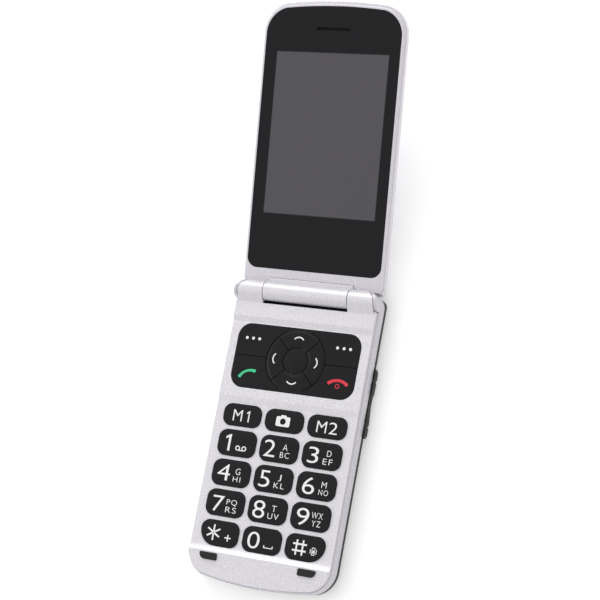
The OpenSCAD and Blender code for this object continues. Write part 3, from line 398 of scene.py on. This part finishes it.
cameraSign = {"x": -0.3, "y": -0.25, "halfW": 2.65, "halfH": 1.75, "corner": 0.6, "lens": 1.1,
              "bump": ([(-1.3, 1.725), (0.7, 1.725)], 0.55)}


def extraShapes(name):
    if name == "key_camera":
        return cameraShapes()
    return [strokeShape(bmesh.new(), *stroke) for stroke in signStrokes.get(name, [])]


# Camera body with a round lens left out, as a ring of quads between lens circle and body outline
def cameraShapes():
    count = 64
    turn = np.linspace(0, 2 * math.pi, count, endpoint=False)
    x0, y0, corner, lensRadius = (cameraSign[key] for key in ("x", "y", "corner", "lens"))
    halfW, halfH = cameraSign["halfW"], cameraSign["halfH"]
    outer = []
    for a in turn:
        dx, dy = math.cos(a), math.sin(a)
        reach = min(halfW / max(abs(dx), 1e-9), halfH / max(abs(dy), 1e-9))
        x, y = dx * reach, dy * reach
        ox, oy = max(abs(x) - (halfW - corner), 0), max(abs(y) - (halfH - corner), 0)
        if ox > 0 and oy > 0:
            length = math.hypot(ox, oy)
            ox, oy = ox / length * corner, oy / length * corner
            x = math.copysign(halfW - corner + ox, x)
            y = math.copysign(halfH - corner + oy, y)
        outer.append((x + x0, y + y0))
    shape = bmesh.new()
    ring = [shape.verts.new((x, y, 0)) for x, y in outer]
    lens = [shape.verts.new((x0 + lensRadius * math.cos(a), y0 + lensRadius * math.sin(a), 0)) for a in turn]
    for i in range(count):
        j = (i + 1) % count
        shape.faces.new((ring[i], ring[j], lens[j], lens[i]))
    return [shape, strokeShape(bmesh.new(), *cameraSign["bump"])]


def addLegends():
    for name, (column, row, letters) in legendBoxes.items():
        x, y = keyMiddle(column, row)
        height = keypad["shortHeight"] if row == 0 else keypad["height"]
        if row == 4:
            height -= keypad["lastRowCut"]
        shapes = [fitShape(figureOne() if text == "1" else meshFromText(text), (x0, x1, y0, y1))
                  for text, x0, x1, y0, y1 in letters]
        whole = joinShapes(shapes + extraShapes(name))

        def surface(px, py, h=height):
            return crownHeight(px, py, h / 2, keypad["width"] / 2, keypad["crown"], keypad["top"])

        mark = layMark("legend_" + name, whole, "body_" + name, whiteInk, surface)
        mark.data.transform(Matrix.Translation((x * mm, y * mm, 0)))


addLegends()
print("key legends laid")


# Marks on the black panel

panelMarks = {"dotX": (-20.07, -17.63, -15.17), "dotY": 6.3, "dotRadius": 0.55, "rightShift": 0.3,
              "arcWidth": 0.45, "call": (-17.9, -5.6, 24, 6.7, 0.85, 1.4),
              "end": (17.3, -5.0, 0, 7.5, 1.0, 1.4), "ring": (17.3, -7.05, 0.7, 0, 345), "ringWidth": 0.28}
# middle x and y, radius, start and stop in degrees
arrowArcs = {"up": (0, 6.25, 2.2, 38, 142), "down": (0, -6.1, 2.2, 218, 322),
             "left": (-6.4, 0, 2.2, 128, 232), "right": (6.15, 0, 2.2, -52, 52)}


def addPanelMarks():
    y = panel["y"]

    def onCorner(px, py):
        return np.full_like(px, panel["cornerTop"])

    def onRing(px, py):
        return np.full_like(px, panel["ringTop"])

    for side, body in ((-1, "key_soft_left"), (1, "key_soft_right")):
        shape = bmesh.new()
        for x in panelMarks["dotX"]:
            placed = x if side < 0 else -x - panelMarks["rightShift"]
            discShape(shape, placed, y + panelMarks["dotY"], panelMarks["dotRadius"])
        layMark("dots_" + body, shape, "body_" + body, whiteInk, onCorner, bands=False)
    for name, (x, dy, radius, start, stop) in arrowArcs.items():
        arrow = strokeShape(bmesh.new(), arcPath(x, y + dy, radius, start, stop), panelMarks["arcWidth"])
        layMark("arc_" + name, arrow, "body_key_" + name, whiteInk, onRing, bands=False)
    x, dy, *form = panelMarks["call"]
    layMark("handset_call", handset(x, y + dy, *form), "body_key_call", greenInk, onCorner, bands=False)
    x, dy, *form = panelMarks["end"]
    end = handset(x, y + dy, *form)
    x, dy, *form = panelMarks["ring"]
    strokeShape(end, arcPath(x, y + dy, *form), panelMarks["ringWidth"], True)
    layMark("handset_end", end, "body_key_end", redInk, onCorner, bands=False)


# Telephone handset as one outline: a bar on an arc whose half width swells from its middle to both ends
def handset(x, y, turn, length, thin, thick):
    half, rise = length / 2, length * 0.2
    radius = (half ** 2 + rise ** 2) / (2 * rise)
    spread = math.asin(half / radius)
    t = np.linspace(-1, 1, 41)
    width = thin + (thick - thin) * np.abs(t) ** 3
    width *= np.minimum(1, np.sqrt(np.maximum(1 - ((np.abs(t) - 0.86) / 0.14).clip(0) ** 2, 0)) + 0.02)
    edges = []
    for side in (1, -1):
        reach = radius + side * width / 2
        edges.append(np.stack([reach * np.sin(spread * t), reach * np.cos(spread * t) - radius], 1))
    c, s = math.cos(math.radians(turn)), math.sin(math.radians(turn))
    placed = [edge @ np.array([[c, s], [-s, c]]) + (x, y) for edge in edges]
    shape = bmesh.new()
    upper, lower = ([shape.verts.new((*point, 0)) for point in edge] for edge in placed)
    for i in range(len(t) - 1):
        shape.faces.new((upper[i], lower[i], lower[i + 1], upper[i + 1]))
    return shape


addPanelMarks()
print("panel marks laid")


# Window: black mask with a clear area over the display. Places are from the hinge axis along the lid, and
# softIn and softOut are how far the edge fades to either side

screen = {"x": 0.35, "y": 56.5, "halfWidth": 21.5, "halfHeight": 28.8, "softIn": 0.3, "softOut": 0.15,
          "clear": "#545256", "mask": "#161518"}


# Mask in lid coordinates: rotate the object's point about the hinge axis, then a smooth box test
# max(|x| - half width, |y - middle| - half height)
def maskWindow():
    window = materials["window_acrylic"]
    shader = window.node_tree.nodes["Principled BSDF"]
    place = addNode(window, "ShaderNodeTexCoord")
    turned = addNode(window, "ShaderNodeVectorRotate",
                     {"Vector": place.outputs["Object"], "Center": (0, hinge["y"] * mm, hinge["z"] * mm),
                      "Angle": -hinge["tilt"]}, rotation_type="X_AXIS")
    parts = addNode(window, "ShaderNodeSeparateXYZ", {"Vector": turned.outputs["Vector"]})

    def minus(value, length):
        return addNode(window, "ShaderNodeMath", {0: value, 1: length * mm}, operation="SUBTRACT").outputs[0]

    across = addNode(window, "ShaderNodeMath", {0: minus(parts.outputs["X"], screen["x"])},
                     operation="ABSOLUTE")
    along = addNode(window, "ShaderNodeMath", {0: minus(parts.outputs["Y"], hinge["y"] + screen["y"])},
                    operation="ABSOLUTE")
    beyond = addNode(window, "ShaderNodeMath", {0: minus(across.outputs[0], screen["halfWidth"]),
                                                1: minus(along.outputs[0], screen["halfHeight"])},
                     operation="MAXIMUM")
    edge = addNode(window, "ShaderNodeMapRange",
                   {"Value": beyond.outputs[0], "From Min": -screen["softIn"] * mm,
                    "From Max": screen["softOut"] * mm})
    mix = addNode(window, "ShaderNodeMix", data_type="RGBA")
    mix.inputs["A"].default_value = toLinear(screen["clear"])
    mix.inputs["B"].default_value = toLinear(screen["mask"])
    window.node_tree.links.new(edge.outputs["Result"], mix.inputs["Factor"])
    window.node_tree.links.new(mix.outputs["Result"], shader.inputs["Base Color"])


maskWindow()
print("window masked")


# Studio, in metres and watts

studio = {"middle": (0, 0.04, 0.01), "floorHalf": 3, "floorDrop": 0.00002, "glow": 0.3, "world": 0.64}
softboxes = {"softbox_back": ((-0.3, 1.1, 0.75), (1.1, 0.7), 7.5),
             "softbox_left": ((-1.1, -0.1, 0.5), (0.7, 0.9), 4),
             "softbox_right": ((0.8, -0.5, 0.9), (0.7, 0.7), 2)}


def addLight(name, place, target, size, power):
    data = bpy.data.lights.new(name, "AREA")
    data.shape = "RECTANGLE"
    data.size, data.size_y = size
    data.energy = power
    lamp = bpy.data.objects.new(name, data)
    lamp.location = place
    lamp.rotation_mode = "QUATERNION"
    lamp.rotation_quaternion = (Vector(target) - Vector(place)).to_track_quat("-Z", "Y")
    bpy.context.scene.collection.objects.link(lamp)
    return lamp


# White paper sweep: what the camera, gloss or glass sees of it glows a little, so that it comes out white
# and still takes the phone's shadow
def makeFloorMaterial():
    paper = makeMaterial("white_paper_sweep", "#F4F4F4", 0.9, Specular_IOR_Level=0.1)
    shader = paper.node_tree.nodes["Principled BSDF"]
    ray = addNode(paper, "ShaderNodeLightPath")
    seen = addNode(paper, "ShaderNodeMath",
                   {0: ray.outputs["Is Camera Ray"], 1: ray.outputs["Is Glossy Ray"]}, operation="MAXIMUM")
    seen = addNode(paper, "ShaderNodeMath", {0: seen.outputs[0], 1: ray.outputs["Is Transmission Ray"]},
                   operation="MAXIMUM")
    glow = addNode(paper, "ShaderNodeMath", {0: seen.outputs[0], 1: studio["glow"]}, operation="MULTIPLY")
    shader.inputs["Emission Color"].default_value = (1, 1, 1, 1)
    paper.node_tree.links.new(glow.outputs[0], shader.inputs["Emission Strength"])
    return paper


def addStudio():
    mesh = bpy.data.meshes.new("floor")
    half = studio["floorHalf"]
    mesh.from_pydata([(-half, -half, 0), (half, -half, 0), (half, half, 0), (-half, half, 0)], [],
                     [(0, 1, 2, 3)])
    floor = bpy.data.objects.new("floor", mesh)
    floor.location.z = -studio["floorDrop"]
    bpy.context.scene.collection.objects.link(floor)
    mesh.materials.append(makeFloorMaterial())
    world = bpy.data.worlds.new("studio")
    world.use_nodes = True
    world.node_tree.nodes["Background"].inputs["Color"].default_value = (1, 1, 1, 1)
    world.node_tree.nodes["Background"].inputs["Strength"].default_value = studio["world"]
    bpy.context.scene.world = world
    for name, (place, size, power) in softboxes.items():
        addLight(name, place, studio["middle"], size, power)


# Camera found by fitting measured points of the photograph: rows are right, up and back
def addCamera():
    data = bpy.data.cameras.new("camera")
    data.lens = 99.8
    data.sensor_width = 36
    data.clip_start, data.clip_end = 0.01, 20
    camera = bpy.data.objects.new("camera", data)
    right, up, back = (0.9064, 0.1835, -0.3804), (-0.0954, 0.9664, 0.2388), (0.4114, -0.1802, 0.8934)
    turn = Matrix((right, up, back)).transposed().to_quaternion()
    camera.rotation_mode = "QUATERNION"
    camera.rotation_quaternion = turn
    camera.location = Vector((238.3, -57.4, 533.5)) * mm
    bpy.context.scene.collection.objects.link(camera)
    bpy.context.scene.camera = camera


addStudio()
addCamera()
bpy.context.scene.view_settings.view_transform = "Standard"
print("studio ready")
